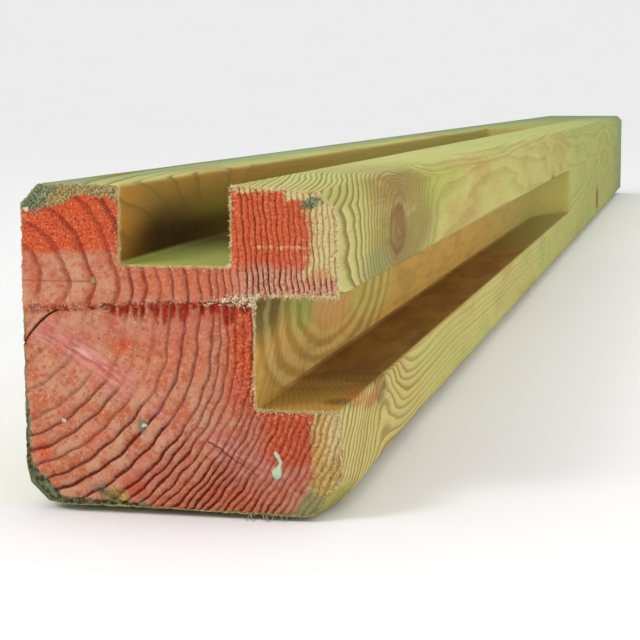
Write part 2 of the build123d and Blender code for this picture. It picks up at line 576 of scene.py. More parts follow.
def end_depth(across, up, rim, sizes, cracks):
    """How far behind the saw's upper cut a point of the end face lies, in mm."""
    rough = 0.25
    for middle, height, wide, high, much in ROUGH_PATCHES:
        off = math.hypot((across - middle) / wide, (up - height) / high)
        rough = max(rough, much * (1 - fade(off, 0.7, 1.25)))
    line, lead, _ = ring_lines(ring_reach(across, up), 0.9)
    depth = 0.1 * line + 0.03 * lead
    depth += rough * (0.22 * grain(across, 0, up, 1.9) + 0.2 * grain(across, 0, up, 0.9, 4.0))
    depth += 0.12 * grain(across, 0, up, 9.0, 8.0)
    line = step_height(across, sizes)
    below = fade(line - up, -0.2, 0.5)
    depth += below * sizes.saw_step / MM
    notch = notch_reach(across) * (0.8 + 0.5 * grain(across, 0, up, 3.0, 2.0))
    depth += NOTCH_DEEP * fade(line - up, 0.0, 0.5) * fade(line - up, notch, notch - 1.0)
    depth += CHECK_DEEP * opening(cracks["check"], across, up)
    depth += HAIR_DEEP * opening(cracks["hair"], across, up)
    chip = math.hypot((across - 28.0) / 3.6, (up - 1.5) / 4.2)
    depth += CHIP_DEEP * (1 - fade(chip, 0.55, 1.0)) * (0.8 + 0.6 * grain(across, 0, up, 1.2))
    crescent = math.hypot((across - 86.4) / 2.6, (up - 89.0) / 1.5)
    depth += CRESCENT_DEEP * (1 - fade(crescent, 0.6, 1.0))
    ragged = (0.16 + 0.5 * rough) * max(0.0, 0.3 + grain(across, 0, up, 1.3, 6.0))
    return depth + ragged * (1 - fade(rim, 0.0, 1.1))


def side_depth(across, along, up, sizes):
    """How far a point of a planed face lies under the true plane, in mm."""
    line, lead, _ = ring_lines(grown_reach(across, along, up), 0.9)
    depth = 0.04 * line + 0.02 * lead
    depth += 0.06 * grain(across, along * 0.12, up, 6.0)
    for knot in KNOTS:
        off = knot_distance(across, along, up, knot)
        depth -= 0.2 * fade(off, knot[4] * 2.2, knot[4]) * (0.4 + 0.6 * fade(off, knot[4] * 0.4, knot[4]))
    torn_edge = 1 - fade(along, 0.0, 1.6)
    depth += torn_edge * 0.45 * max(0.0, 0.25 + grain(across, along, up, 1.1, 3.0))
    scallop = (1 - fade(along, 0.0, 5.0)) * fade(grain(across, 0, up, 3.1, 5.0), 0.15, 0.5)
    depth += 0.3 * scallop
    if 0.01 < along and across < 0.01:
        groove = (0.4 + 3.0 * fade(along, 0.0, 5.0)) * (1 - along * MM / sizes.check_run)
        depth += groove * side_check(along, up, sizes)
    return depth


def push_behind(co, corner, across, up, run):
    """Moves a point that stands outside the break of a knocked corner back onto it."""
    side = 1 if corner.x > 0 else -1
    normal = Vector((side / across, -1 / run, -1 / up)).normalized()
    outside = (co - (corner - Vector((side * across, 0, 0)))).dot(normal)
    if outside > 0:
        co -= normal * outside
    return max(outside, 0.0)


def settle_end(co):
    """The sawn end has dried a little out of square: its top right corner sinks, its lower lip spreads."""
    across, along, up = measured(co)
    near = growth(-(along / 70) ** 2)
    drop = 1.5 * fade(across, 64, 92) * fade(up, 70, 92)
    wide = fade(across, 60, 94)
    spread = 1.2 * wide * (1 - fade(up, 6, 40)) - 0.5 * wide * fade(up, 64, 88)
    sag = 0.7 * (1 - fade(up, 0, 24)) * fade(across, 30, 84)
    co.x += spread * near * MM
    co.z -= (drop + sag) * near * MM


# Distances from the rim of the painted end are told up to RIM_REACH, in mm. Points of the rim are shelved by
# their place, in squares as wide as SHELF, so that the near ones are found quickly.
RIM_REACH = 5.0
SHELF = 2.0 * MM


def rim_gauge(points):
    """A function that tells how far a point of the painted end lies from its rim."""
    shelves = {}
    for x, z in points:
        shelves.setdefault((math.floor(x / SHELF), math.floor(z / SHELF)), []).append((x, z))

    def gauge(co):
        nearest = RIM_REACH
        column, row = math.floor(co.x / SHELF), math.floor(co.z / SHELF)
        for i in (-2, -1, 0, 1, 2):
            for j in (-2, -1, 0, 1, 2):
                for x, z in shelves.get((column + i, row + j), ()):
                    nearest = min(nearest, math.hypot(co.x - x, co.z - z) / MM)
        return nearest
    return gauge


def carve(bm, sizes):
    """Gives every point of the timber its place: saw marks, cracks, rings, knots, knocks and torn edges."""
    cracks = {"check": check_line(sizes), "hair": hairline()}
    rim = bm.verts.layers.float.new("rim")
    bm.normal_update()
    kinds = {v: {f.material_index for f in v.link_faces} for v in bm.verts}
    normals = {v: v.normal.copy() for v in bm.verts}
    on_rim = [v.co for v in bm.verts if PAINTED in kinds[v] and PLANED in kinds[v]]
    rim_distance = rim_gauge([(co.x, co.z) for co in on_rim])
    left_corner = Vector((-HALF_SIDE, NEAR_END + sizes.saw_step, 0))
    right_corner = Vector((HALF_SIDE, NEAR_END, 0))
    for vert in bm.verts:
        co = vert.co
        across, along, up = measured(co)
        vert[rim] = RIM_REACH
        move = Vector()
        if PAINTED in kinds[vert]:
            off_rim = rim_distance(co)
            vert[rim] = off_rim
            move.y += end_depth(across, up, off_rim, sizes, cracks)
        if PLANED in kinds[vert]:
            outward = Vector((normals[vert].x, 0, normals[vert].z)).normalized()
            move -= outward * side_depth(across, along, up, sizes)
        if BARE in kinds[vert]:
            move.y -= 0.1 + 0.12 * grain(across, 0, up, 2.5)
        vert.co = co + move * MM
        if along < sizes.right_knock_run / MM:
            for corner, wide, high, run in (
                (left_corner, sizes.left_knock_across, sizes.left_knock_up, sizes.left_knock_run),
                (right_corner, sizes.right_knock_across, sizes.right_knock_up, sizes.right_knock_run),
            ):
                pushed = push_behind(vert.co, corner, wide, high, run)
                if pushed > 0:
                    bite = 0.35 * grain(across, along * 0.3, up, 2.2)
                    bite += 0.2 * grain(across, along * 0.4, up, 0.9)
                    vert.co.z += bite * MM * min(1.0, pushed / (0.6 * MM))
        settle_end(vert.co)


def unroll(bm, girth_length, mesh):
    """The timber's own map: the painted end large in one corner, its sides unrolled round it."""
    girth = bm.verts.layers.float["girth"]
    near_run = mesh.fine_run * 4
    maps = bm.loops.layers.uv.new("OFBake")
    end_share, bare_share, far_share, gap = 0.6, 0.1, 0.28, 0.008
    for face in bm.faces:
        kind = face.material_index
        runs = [loop.vert[girth] for loop in face.loops]
        wraps = max(runs) - min(runs) > girth_length / 2
        middle = sum(loop.vert.co.y for loop in face.loops) / len(face.loops) - NEAR_END
        for loop, run in zip(face.loops, runs):
            co = loop.vert.co
            if kind == PAINTED:
                place = (gap + (co.x - LEFT_FACE) / SIDE * (end_share - 2 * gap),
                         gap + co.z / SIDE * (end_share - 2 * gap))
            elif kind == BARE:
                place = (end_share + gap + (co.x - LEFT_FACE) / SIDE * bare_share,
                         1 - bare_share - gap + co.z / SIDE * bare_share)
            else:
                if wraps and run < girth_length / 2:
                    run += girth_length
                along = co.y - NEAR_END
                if middle < near_run:
                    place = (end_share + gap + along / near_run * (1 - end_share - 3 * gap),
                             gap + run / girth_length * (end_share - 3 * gap))
                else:
                    place = (gap + (along - near_run) / (LENGTH - near_run) * (1 - 2 * gap),
                             end_share + gap + run / girth_length * (far_share - gap))
            loop[maps].uv = place


# Longer than any post, in mm
THROUGH = 1e5


class Finish:
    """A material being mixed: one method adds any node, the others are short ways to the usual ones."""

    def __init__(self, name):
        self.material = bpy.data.materials.new(name)
        self.material.use_nodes = True
        self.nodes = self.material.node_tree.nodes
        self.links = self.material.node_tree.links
        self.nodes.clear()
        self.place = self.node("ShaderNodeVectorMath", {"operation": "SUBTRACT"}, {
            0: self.node("ShaderNodeTexCoord", {}, {}, "Object"), 1: (LEFT_FACE, NEAR_END, 0)})
        self.place = self.scaled(self.place, 1 / MM)
        self.across, self.along, self.up = self.parts(self.place)

    def node(self, kind, settings, sockets, output=0):
        made = self.nodes.new(kind)
        for name, value in settings.items():
            setattr(made, name, value)
        for name, value in sockets.items():
            socket = made.inputs[name]
            if isinstance(value, Reading):
                self.links.new(value.socket, socket)
            elif socket.type == "RGBA":
                socket.default_value = (*value, 1)
            else:
                socket.default_value = value
        return Reading(self, made.outputs[output]) if made.outputs else None

    def parts(self, vector):
        made = self.node("ShaderNodeSeparateXYZ", {}, {0: vector}).socket.node
        return [Reading(self, output) for output in made.outputs]

    def scaled(self, vector, scale):
        return self.node("ShaderNodeVectorMath", {"operation": "SCALE"}, {0: vector, "Scale": scale})

    def noise(self, scale, detail=2.0, roughness=0.5, stretch=None, place=None, output=0):
        """Noise from 0 to 1 with features about 1/scale mm wide, drawn out by the stretch."""
        place = place or self.place
        if stretch:
            place = self.node("ShaderNodeVectorMath", {"operation": "MULTIPLY"}, {0: place, 1: stretch})
        return self.node("ShaderNodeTexNoise", {}, {
            "Vector": place, "Scale": scale, "Detail": detail, "Roughness": roughness}, output)

    def written(self, name):
        """What the modelling wrote on the points of the mesh under that name."""
        return self.node("ShaderNodeAttribute", {"attribute_name": name}, {}, "Fac")

    def mixed(self, share, first, second):
        """The first colour, with that share of the second laid over it."""
        settings = {"data_type": "RGBA", "blend_type": "MIX", "clamp_factor": True}
        return self.node("ShaderNodeMix", settings, {0: share, 6: first, 7: second}, 2)

    def patch(self, middle, reach, strength, turn=0.0, place=None):
        """A spot so strong that its middle is solid."""
        return smaller(self.spot(place or self.place, middle, reach, turn) * strength, 1)

    def spot(self, place, middle, reach, turn=0.0):
        """1 at the middle of an ellipse, fading to 0 at its edge. Two numbers are a place on the end face."""
        if len(middle) == 2:
            middle, reach = (middle[0], 0, middle[1]), (reach[0], THROUGH, reach[1])
        local = self.node("ShaderNodeMapping", {"vector_type": "TEXTURE"}, {
            "Vector": place, "Location": middle, "Rotation": (0, -turn, 0), "Scale": reach})
        return self.node("ShaderNodeTexGradient", {"gradient_type": "SPHERICAL"}, {"Vector": local}, "Fac")

    def surface(self, base, roughness, height, relief):
        """Ends the mix with the surface itself. Relief is the height of a full bump, in mm."""
        bump = self.node("ShaderNodeBump", {}, {"Height": height, "Strength": 1.0, "Distance": relief * MM})
        shader = self.node("ShaderNodeBsdfPrincipled", {}, {
            "Base Color": base, "Roughness": roughness, "Normal": bump, "Specular IOR Level": 0.1})
        self.node("ShaderNodeOutputMaterial", {}, {"Surface": shader})
        return self.material


def wavering(finish, reach, scale):
    """The place on the surface, shifted about by noise so that stains get natural edges."""
    push = finish.noise(scale, 3.0, 0.6, output="Color")
    centred = finish.node("ShaderNodeVectorMath", {"operation": "SUBTRACT"}, {0: push, 1: (0.5, 0.5, 0.5)})
    shift = finish.scaled(centred, reach * 2)
    return finish.node("ShaderNodeVectorMath", {"operation": "ADD"}, {0: finish.place, 1: shift})


def all_spots(finish, place, spots):
    """The strongest of several spots, given as middle, reach, turn and strength."""
    return largest(*(finish.spot(place, *spot) * strength for *spot, strength in spots))


# Patches on the painted end, in mm on its face: middle, reach, turn in radians, strength
THICK_SPOTS = (
    ((46.0, 46.0), (26.0, 20.0), 0.3, 0.75),
    ((30.5, 48.0), (7.5, 5.0), 0.5, 1.2),
    ((33.0, 6.5), (5.5, 6.5), 0.3, 1.5),
    ((21.0, 20.5), (10.0, 5.0), 0.5, 0.8),
    ((5.0, 15.5), (4.2, 8.0), 0.0, 1.3),
    ((60.0, 5.0), (34.0, 12.0), -0.1, 0.9),
    ((3.0, 68.0), (3.2, 11.0), 0.0, 1.0),
    ((50.0, 68.5), (24.0, 6.0), 0.0, 0.9),
)
GREEN_SPOTS = (
    ((35.8, 24.8), (3.2, 2.2), -0.7, 0.9),
    ((23.6, 4.0), (8.5, 4.0), -0.4, 0.8),
    ((21.5, 66.3), (2.0, 2.4), 0.0, 0.9),
    ((4.0, 66.3), (2.0, 1.8), 0.0, 0.7),
)
TEAL_SPOTS = (
    ((3.0, 91.0), (8.5, 8.0), -0.7, 1.6),
    ((8.0, 92.5), (8.0, 3.0), 0.0, 1.0),
    ((86.3, 89.3), (4.6, 2.2), 0.25, 1.8),
)
PINK_RAY = (
    ((8.5, 50.0), (12.0, 6.5), -0.45, 1.0),
    ((19.5, 43.6), (15.0, 5.2), -0.6, 1.7),
    ((30.0, 35.6), (18.0, 6.0), -0.68, 1.3),
    ((44.0, 25.5), (20.0, 6.0), -0.6, 1.1),
    ((60.0, 18.5), (17.0, 5.5), -0.35, 1.1),
    ((73.0, 13.0), (15.0, 5.5), -0.5, 0.9),
)


def shaded_lines(finish, reach, breadth):
    """The ring lines of a material, each ring a little different in strength."""
    line, lead, ring = ring_lines(reach, breadth)
    own = finish.node("ShaderNodeTexWhiteNoise", {"noise_dimensions": "1D"}, {"W": ring})
    return line * (own * 0.45 + 0.6), lead * (own * 0.6 + 0.4)


class PaintedEnd(Finish):
    """The finish of the sawn end, with the places, noises, rings and patches that its layers share."""

    def __init__(self, colours):
        super().__init__("painted_end_grain")
        self.colours = colours
        self.slow = wavering(self, 3.2, 0.11)
        self.quick = wavering(self, 1.3, 0.75)
        self.shifted, _, self.raised = self.parts(self.slow)
        self.near, _, self.high = self.parts(self.quick)
        self.rim = self.written("rim")
        self.fine = self.noise(1.05, 3.0, 0.68)
        self.speck = self.noise(1.5, 3.0, 0.62)
        self.grit = self.noise(0.6, 3.0, 0.68)
        self.blotch = self.noise(0.16, 5.0, 0.62)
        self.drift = self.noise(0.42, 3.0, 0.6)
        self.in_block = fade(self.across, 58, 62) * fade(self.up, 60, 66)
        low_block = fade(self.raised, 73.0, 69.0) * fade(self.raised, 60.5, 62.5)
        self.beige = fade(self.shifted, 60, 70) * low_block
        broken = fade(self.across, 36, 20) * 0.25 + fade(self.across, 50, 62) * 0.2
        self.ray = smaller(all_spots(self, self.slow, PINK_RAY), 1) * fade(self.drift + broken, 0.42, 0.62)
        ragged = (self.noise(0.35, 3.0, 0.6) - 0.5) * 2.4
        self.over_seam = self.up - (self.across * SEAM_RISE + SEAM_UP) + ragged
        self.add_rings()
        self.add_notches()

    def add_rings(self):
        """The rings, bolder beside the heart of the tree than in the block right of the top slot."""
        self.reach = ring_reach(self.across, self.up)
        self.from_heart = bearing(self.up - HEART_UP, self.across - HEART_ACROSS)
        self.under_ray = fade(self.from_heart, -0.58, -0.66)
        self.by_heart = fade(self.reach, 58, 48) * (1 - self.under_ray)
        sway = fade(self.reach, 52, 68) * 0.5 + 0.3
        breadth = (self.blotch * 0.7 + 0.65) * (1 + self.by_heart * 0.45 - self.in_block * 0.22)
        self.line, self.lead = shaded_lines(self, self.reach + (self.drift - 0.5) * sway, breadth)

    def add_notches(self):
        """The notches that the saw tore under its step."""
        under = -self.over_seam
        notch = notch_reach(self.across + (self.speck - 0.5) * 1.4) * (self.blotch * 0.9 + 0.6)
        notch = fade(under, -0.5, 0.4) * fade(under, notch, notch - 1.6) * fade(notch, 0.4, 1.2)
        self.notch = notch * fade(self.fine + self.grit, 0.78, 0.96)


def paint_thickness(end):
    """How thick the paint lies, and how rough the wood under it is."""
    across, up, rim, near = end.across, end.up, end.rim, end.near
    shifted, raised, blotch, grit = end.shifted, end.raised, end.blotch, end.grit
    land = fade(raised, 72.0, 76.5) * fade(shifted, 34, 31)
    block = fade(shifted, 59.0, 61.5) * fade(raised, 65.5, 72.5) * fade(shifted + raised * 0.12, 97.5, 94.0)
    under_slot = fade(shifted, 24, 40) * fade(raised, 60, 63) * fade(raised, 74, 70) * 0.5
    strip = fade(near, 54, 67) * fade(raised, 22, 34) * fade(raised, 63, 58) * 0.9
    lip = fade(shifted, 66, 74) * fade(raised, 8, 17) * fade(shifted, 88.0, 84.5) * 0.8
    thick = largest(land, block, under_slot, strip, lip, all_spots(end, end.slow, THICK_SPOTS) * 0.7)
    thick = fade(thick + (blotch - 0.5) * 0.9 + (grit - 0.5) * 0.7, 0.1, 0.95)
    rough = fade(rim, 5.0, 0.6) * fade(across, 20, 30) * fade(up, 1.0, 6.0) * 0.8
    rough = smaller(rough + strip + land * 0.5 + block * 0.3 + lip * 0.3, 1)
    return thick, rough


def paint_layer(end, thick):
    """Pale paint where it is thin, strong where it is thick, with painted glints and shade in its pits, beige
    low on the right block.
    """
    colours, blotch, fine, speck, grit = end.colours, end.blotch, end.fine, end.speck, end.grit
    pale = end.mixed(fade(blotch + (grit - 0.5) * 0.5, 0.36, 0.62), colours.worn_paint, colours.thin_paint)
    pale = pale.under(fade(speck, 0.54, 0.68) * 0.45, 232, 188, 156)
    pale = pale.under(fade(grit, 0.45, 0.33) * 0.5, 164, 84, 56)
    # Painted glints where fibres of the thick paint catch the light, and painted shade in its pits
    glint_share = fade(speck + (grit - 0.5) * 0.4, 0.5, 0.64) * 0.75
    strong = end.mixed(glint_share, colours.strong_paint, colours.paint_glint)
    strong = strong.under(fade(fine + (grit - 0.5) * 0.4, 0.46, 0.34) * 0.75, colours.pit_paint_and_shade)
    strong = strong.under(end.in_block * 0.25, 240, 126, 84)
    base = end.mixed(thick, pale, strong)
    base = base.under(fade(end.noise(0.05, 3.0, 0.5), 0.5, 0.66) * 0.3, colours.streak)
    pinkish = end.mixed(fade(fine, 0.35, 0.6), screen(200, 128, 100), screen(230, 184, 152))
    return base.under(end.beige * 0.8, pinkish)


def ray_layer(end, base):
    """The pink ray from the heart, streaked lengthwise, with a whitish graze on its upper part."""
    across, up = end.across, end.up
    down_ray = end.node("ShaderNodeCombineXYZ", {}, {
        0: (across * 0.86 - up * 0.51) * 0.14, 2: across * 0.51 + up * 0.86})
    silk = end.noise(0.8, 3.0, 0.6, place=down_ray)
    pink = end.mixed(fade(silk, 0.4, 0.6), end.colours.streak, screen(226, 152, 138))
    base = base.under(end.ray * fade(end.grit + end.blotch * 0.4, 0.38, 0.6) * 0.85, pink)
    graze = end.patch((16.3, 45.2), (5.6, 1.7), 1.8, -0.5, end.slow) * fade(silk, 0.42, 0.56)
    return base.under(graze * 0.75, 236, 184, 174)


def ring_layer(end, base, thick):
    """Lines are bold under the ray, thin and purplish above it, and lost beside the heart."""
    reach, from_heart, under_ray, beige = end.reach, end.from_heart, end.under_ray, end.beige
    lost = fade(from_heart, -0.2, -0.27) * (1 - under_ray) * fade(reach, 64, 50)
    faint = fade(reach, 50, 34) * under_ray * 0.45
    bold = 0.64 + under_ray * fade(reach, 38, 60) * 0.36 + beige * 0.36
    bold = bold * (1 - lost * 0.85) * (1 - faint) * (1 - end.ray * fade(reach, 72, 50) * 0.7)
    bold = bold * (fade(end.drift, 0.25, 0.6) * 0.4 + 0.72) * (fade(end.fine, 0.3, 0.55) * 0.4 + 0.65)
    line_tone = end.mixed(thick, end.colours.thin_line, end.colours.paint_line)
    line_tone = line_tone.under(end.by_heart, 144, 50, 36)
    line_tone = line_tone.under(under_ray * fade(reach, 50, 66), 104, 36, 20)
    line_tone = line_tone.under((1 - under_ray) * fade(reach, 56, 64) * (1 - thick) * 0.6, 124, 66, 62)
    line_tone = line_tone.under(beige, 98, 46, 28)
    base = base.under(smaller(end.lead * bold * 0.5, 1), line_tone)
    return base.under(smaller(end.line * bold * 1.25, 1), line_tone)


def seam_layer(end, base):
    """Torn notches, and the seam where both passes of the saw meet."""
    across, up, over = end.across, end.up, end.over_seam
    blotch, fine, speck, grit = end.blotch, end.fine, end.speck, end.grit
    under = -over
    lumps = blotch * 0.6 + grit * 0.6
    clotted = fade(under, -0.6, 0.6) * fade(under, 7.5, 1.5) * fade(across, 34, 46) * fade(across, 70, 66)
    clot = end.mixed(fade(speck, 0.45, 0.6), screen(176, 58, 38), screen(214, 84, 54))
    base = base.under(clotted * fade(lumps, 0.5, 0.66) * 0.8, clot)
    torn_red = end.mixed(fade(speck, 0.42, 0.58), screen(160, 40, 26), end.colours.notch)
    base = base.under(end.notch * 0.85, torn_red)
    scuffed = fade(size_of(over + 0.8), 2.0, 0.6) * fade(across, 34, 22) * fade(lumps, 0.6, 0.68)
    base = base.under(scuffed * 0.7, 168, 52, 38)
    seam = fade(size_of(over), 1.1, 0.2) * fade(across, 72, 66) * fade(grit + blotch * 0.3, 0.6, 0.74)
    base = base.under(seam * 0.85, 112, 38, 26)
    frayed = fade(size_of(over - 0.6), fade(across, 52, 68) * 2.4 + 1.0, 0.2)
    fleck = frayed * fade(speck + fade(across, 46, 66) * 0.14, 0.62, 0.68)
    base = base.under(fleck * 0.8, 226, 192, 156)
    pit = frayed * fade(across, 50, 60) * fade(fine, 0.42, 0.34)
    base = base.under(pit * 0.8, 84, 44, 28)
    pencil = fade(size_of(up - 66.0 + (fine - 0.5)), 0.55, 0.1) * fade(across, 26, 18) * 0.45
    return base.under(pencil, 132, 66, 44)


def torn_layer(end, base, rough):
    """Pale fibre ends show through where the saw tore the grain."""
    straw = fade(end.rim, 2.6, 0.6) * fade(end.up, 2.0, 7.0)
    fleck_tone = end.mixed(straw, screen(232, 146, 98), screen(232, 190, 136))
    base = base.under(rough * fade(end.speck, 0.54, 0.64) * (straw * 0.35 + 0.5), fleck_tone)
    return base.under(rough * fade(end.fine, 0.45, 0.36) * 0.6, 126, 40, 22)


def bare_layer(end, base):
    """Bare wood on the right block, the lower lip, the slot corner and the chipped bottom edge."""
    across, up, near, high, colours = end.across, end.up, end.near, end.high, end.colours
    blotch, fine, speck, grit = end.blotch, end.fine, end.speck, end.grit
    arc = across + (up - 80.0) * (up - 80.0) * 0.02 + (blotch - 0.5) * 5.0
    bare = largest(
        fade(arc, 82.0, 90.0) * fade(high, 66.0, 70.0),
        fade(near, 77, 80) * fade(high, 89.0, 91.0),
        fade(across, 62, 66) * fade(up + (blotch - 0.5) * 3.0, 90.6, 93.2) * 0.8,
        fade(near, 84.0, 88.0) * fade(high, 34, 32),
        fade(size_of(up - 76.6 + (fine - 0.5) * 1.4), 0.9, 0.2) * fade(across, 67, 72) * 0.5,
        end.patch((27.6, 2.2), (4.6, 4.6), 2.0, 0.4, end.quick))
    bare = fade(bare + (grit - 0.5) * 1.7 + (speck - 0.5) * 0.8, 0.15, 0.95)
    gold = fade(up, 42, 34) * fade(across, 92.4, 88.0) * 0.7
    wood = end.mixed(gold, colours.bare_wood, colours.golden_wood)
    wood = wood.under(fade(speck, 0.5, 0.64) * 0.55, colours.torn_fibre)
    wood = wood.under(fade(fine, 0.45, 0.33) * 0.6, 150, 112, 58)
    wood = wood.under(fade(grit, 0.42, 0.3) * 0.5, 160, 118, 62)
    wood = wood.under(smaller(end.line * (grit * 0.9 + 0.4), 1), colours.bare_line)
    wood = wood.under(fade(speck, 0.4, 0.34) * 0.4, 120, 84, 42)
    wood = wood.under(end.patch((88.8, 68.6), (4.6, 3.2), 1.2, place=end.quick) * 0.6, 202, 112, 66)
    return base.under(bare, wood)


def bloom_layer(end, base):
    """Bloom and growth on the outer edges."""
    across, up, near, high, colours = end.across, end.up, end.near, end.high, end.colours
    blotch, fine, speck, grit, quick = end.blotch, end.fine, end.speck, end.grit, end.quick
    left_corner = fade(near + high, 15.0, 12.4)
    right_corner = fade((94.0 - near) / 9.4 + high / 13.0, 1.9, 1.2)
    left_edge = fade(near, 2.0, 0.8) * fade(high, 34, 28)
    bottom = fade(high + near * 0.03, 3.6, 1.6) * fade(across, 46, 30)
    band = fade(across, 18.0, 7.0) * 3.0
    top_strip = fade(high + band + (blotch - 0.5) * 7.0, 88.4, 92.0) * fade(across, 31, 30)
    top_corner = fade(near + 94.0 - high, 10.0, 6.0)
    spots = smaller(all_spots(end, quick, GREEN_SPOTS), 1)
    green = largest(left_corner, right_corner, bottom, left_edge, top_strip, top_corner, spots)
    green = fade(green + (grit - 0.5) * 1.3, 0.3, 0.8)
    bloom = end.mixed(fade(speck, 0.4, 0.6), screen(130, 100, 54), colours.lichen)
    bloom = bloom.under(fade(fine, 0.42, 0.34) * 0.8, 92, 66, 34)
    mould = end.mixed(fade(grit, 0.42, 0.62), colours.dark_lichen, colours.teal_lichen)
    lower_left = fade(up, 34, 28) * fade(across, 70, 50)
    right_wood = end.mixed(fade(speck, 0.42, 0.62), screen(184, 144, 82), screen(208, 190, 110))
    foot = fade(up + across * 0.35, 38.5, 35.0)
    right_wood = right_wood.under(foot * 0.8, 134, 142, 106)
    right_wood = right_wood.under(end.line * 0.5 + fade(fine, 0.42, 0.32) * 0.6, 104, 72, 34)
    bloom = bloom.under(fade(across, 68, 78), right_wood)
    base = base.under(green * 0.92, end.mixed(lower_left, bloom, mould))
    teal = fade(smaller(all_spots(end, quick, TEAL_SPOTS), 1) + (grit - 0.5) * 1.8, 0.45, 0.75)
    teal_tone = end.mixed(fade(speck, 0.42, 0.6), screen(74, 88, 60), screen(134, 156, 122))
    return base.under(teal * 0.85, teal_tone)


def mark_layer(end, base):
    """The inside of the cracks darkened as painted shade, a scuff, white specks and the pale fringe along the
    rim.
    """
    # Painted shade inside the cracks
    base = base.under(end.written("crack") * 0.85, 118, 46, 30)
    scuff = end.patch((35.6, 23.1), (2.6, 1.5), 1.5, -0.6, end.quick)
    base = base.under(scuff * 0.7, 132, 122, 100)
    for middle in ((1.9, 86.6), (36.4, 24.2), (11.5, 25.0)):
        white = fade(end.spot(end.quick, middle, (1.1, 0.8)), 0.15, 0.5)
        base = base.under(white * 0.85, 228, 226, 208)
    fringe = fade(end.up, 12, 34) * 0.4 + fade(end.across, 50, 70) * 0.45
    return base.under(fade(end.rim + (end.speck - 0.5) * 2.0, 0.8, 0.1) * fringe, end.colours.torn_fibre)


def painted_end(colours):
    """The sawn end: worn red paint soaked into end grain, with bare, stained and torn patches."""
    end = PaintedEnd(colours)
    thick, rough = paint_thickness(end)
    base = paint_layer(end, thick)
    base = ray_layer(end, base)
    base = ring_layer(end, base, thick)
    base = seam_layer(end, base)
    base = torn_layer(end, base, rough)
    base = bare_layer(end, base)
    base = bloom_layer(end, base)
    base = mark_layer(end, base)
    height = end.fine * 0.5 + end.speck * 0.5 + end.grit * 0.6 - end.line * 0.3 - end.notch * 0.5
    return end.surface(base, 0.78 + end.fine * 0.15, height, 0.6)


# Stains on the walls of the side slot, the first partly painted shade under its upper lip and the last a
# painted shadow line right under that lip, and burnt marks at its lower lip: middle and reach as across,
# along and up in mm, colour as a screen shows it
SIDE_SLOT_STAINS_AND_SHADE = (
    # Darker green under the upper lip, partly painted shade
    ((70.0, 14.0, 62.0), (9.0, 36.0, 17.0), (88, 96, 38)),
    ((70.0, 66.0, 60.0), (9.0, 36.0, 18.0), (160, 184, 80)),
    ((70.0, 120.0, 50.0), (9.0, 52.0, 13.0), (224, 168, 100)),
    ((70.0, 190.0, 46.0), (9.0, 60.0, 12.0), (206, 190, 84)),
    # A painted shadow line right under the upper lip of the side slot
    ((70.0, 6.0, 63.2), (9.0, 24.0, 2.6), (26, 20, 8)),
)
BURNT_MARKS = (
    ((94.0, 32.0, 28.8), (6.0, 13.0, 2.6), (198, 98, 50)),
    ((94.0, 50.0, 25.6), (6.0, 16.0, 2.8), (186, 104, 56)),
    ((90.0, 19.0, 29.2), (6.0, 9.0, 2.2), (92, 44, 14)),
)


def slot_tone_and_shade(finish, colours, shade, top_slot, side_slot, top_slot_shadow):
    """The walls and floors of both slots, browned partly as painted shade, with a painted shadow deep in the
    top slot.
    """
    along, up = finish.along, finish.up
    walls = finish.mixed(side_slot, colours.slot_wood_and_shade, screen(218, 172, 78))
    walls = walls.under(fade(shade, 0.42, 0.62) * 0.4, 162, 136, 66)
    # These stains include painted shade and a painted shadow line under the side slot's upper lip
    for middle, size, tone in SIDE_SLOT_STAINS_AND_SHADE:
        walls = walls.under(finish.patch(middle, size, 2.4) * side_slot * 0.8, *tone)
    loops = finish.spot(finish.place, (70.0, 116.0, 52.0), (60.0, 116.0, 33.0))
    wave = sine(loops * 40.0 + shade * 6.0) * side_slot * fade(loops, 0.0, 0.08) * fade(loops, 0.7, 0.45)
    walls = walls.under(fade(wave, -0.2, 0.9) * 0.45, 228, 200, 130)
    walls = walls.under(fade(wave, 0.2, -0.9) * 0.4, 146, 106, 50)
    # The floor of the side slot darkest, more so farther from the painted end: painted shade on darker wood
    floor = side_slot * fade(up, 31.6, 30.5) * (fade(along, 6.0, 90.0) * 0.62 + 0.3)
    walls = walls.under(floor, finish.mixed(fade(shade, 0.4, 0.6), colours.slot_floor_wood_and_shade, screen(140, 98, 28)))
    # Painted shadow deep in the top slot: dark brown near the painted end, olive farther along and higher up
    top_slot_shadow_tone = finish.mixed(fade(along, 60.0, 170.0), screen(66, 42, 0), screen(122, 112, 20))
    walls = walls.under(top_slot_shadow * 0.95, top_slot_shadow_tone)
    walls = walls.under(top_slot * fade(along, 36.0, 6.0) * fade(up, 70.5, 73.0) * 0.35, 210, 138, 50)
    olive = top_slot_shadow * fade(along, 45.0, 100.0) * fade(up, 76.0, 85.0)
    walls = walls.under(olive * 0.85, 168, 150, 44)
    green_floor = top_slot * fade(up, 72.5, 71.2) * fade(along, 110.0, 20.0)
    walls = walls.under(green_floor * 0.9, 176, 186, 84)
    fading = larger(fade(along, 420.0, 860.0) * 0.85, top_slot * fade(along, 150.0, 420.0) * 0.7)
    return walls.under(fading, 172, 166, 88)


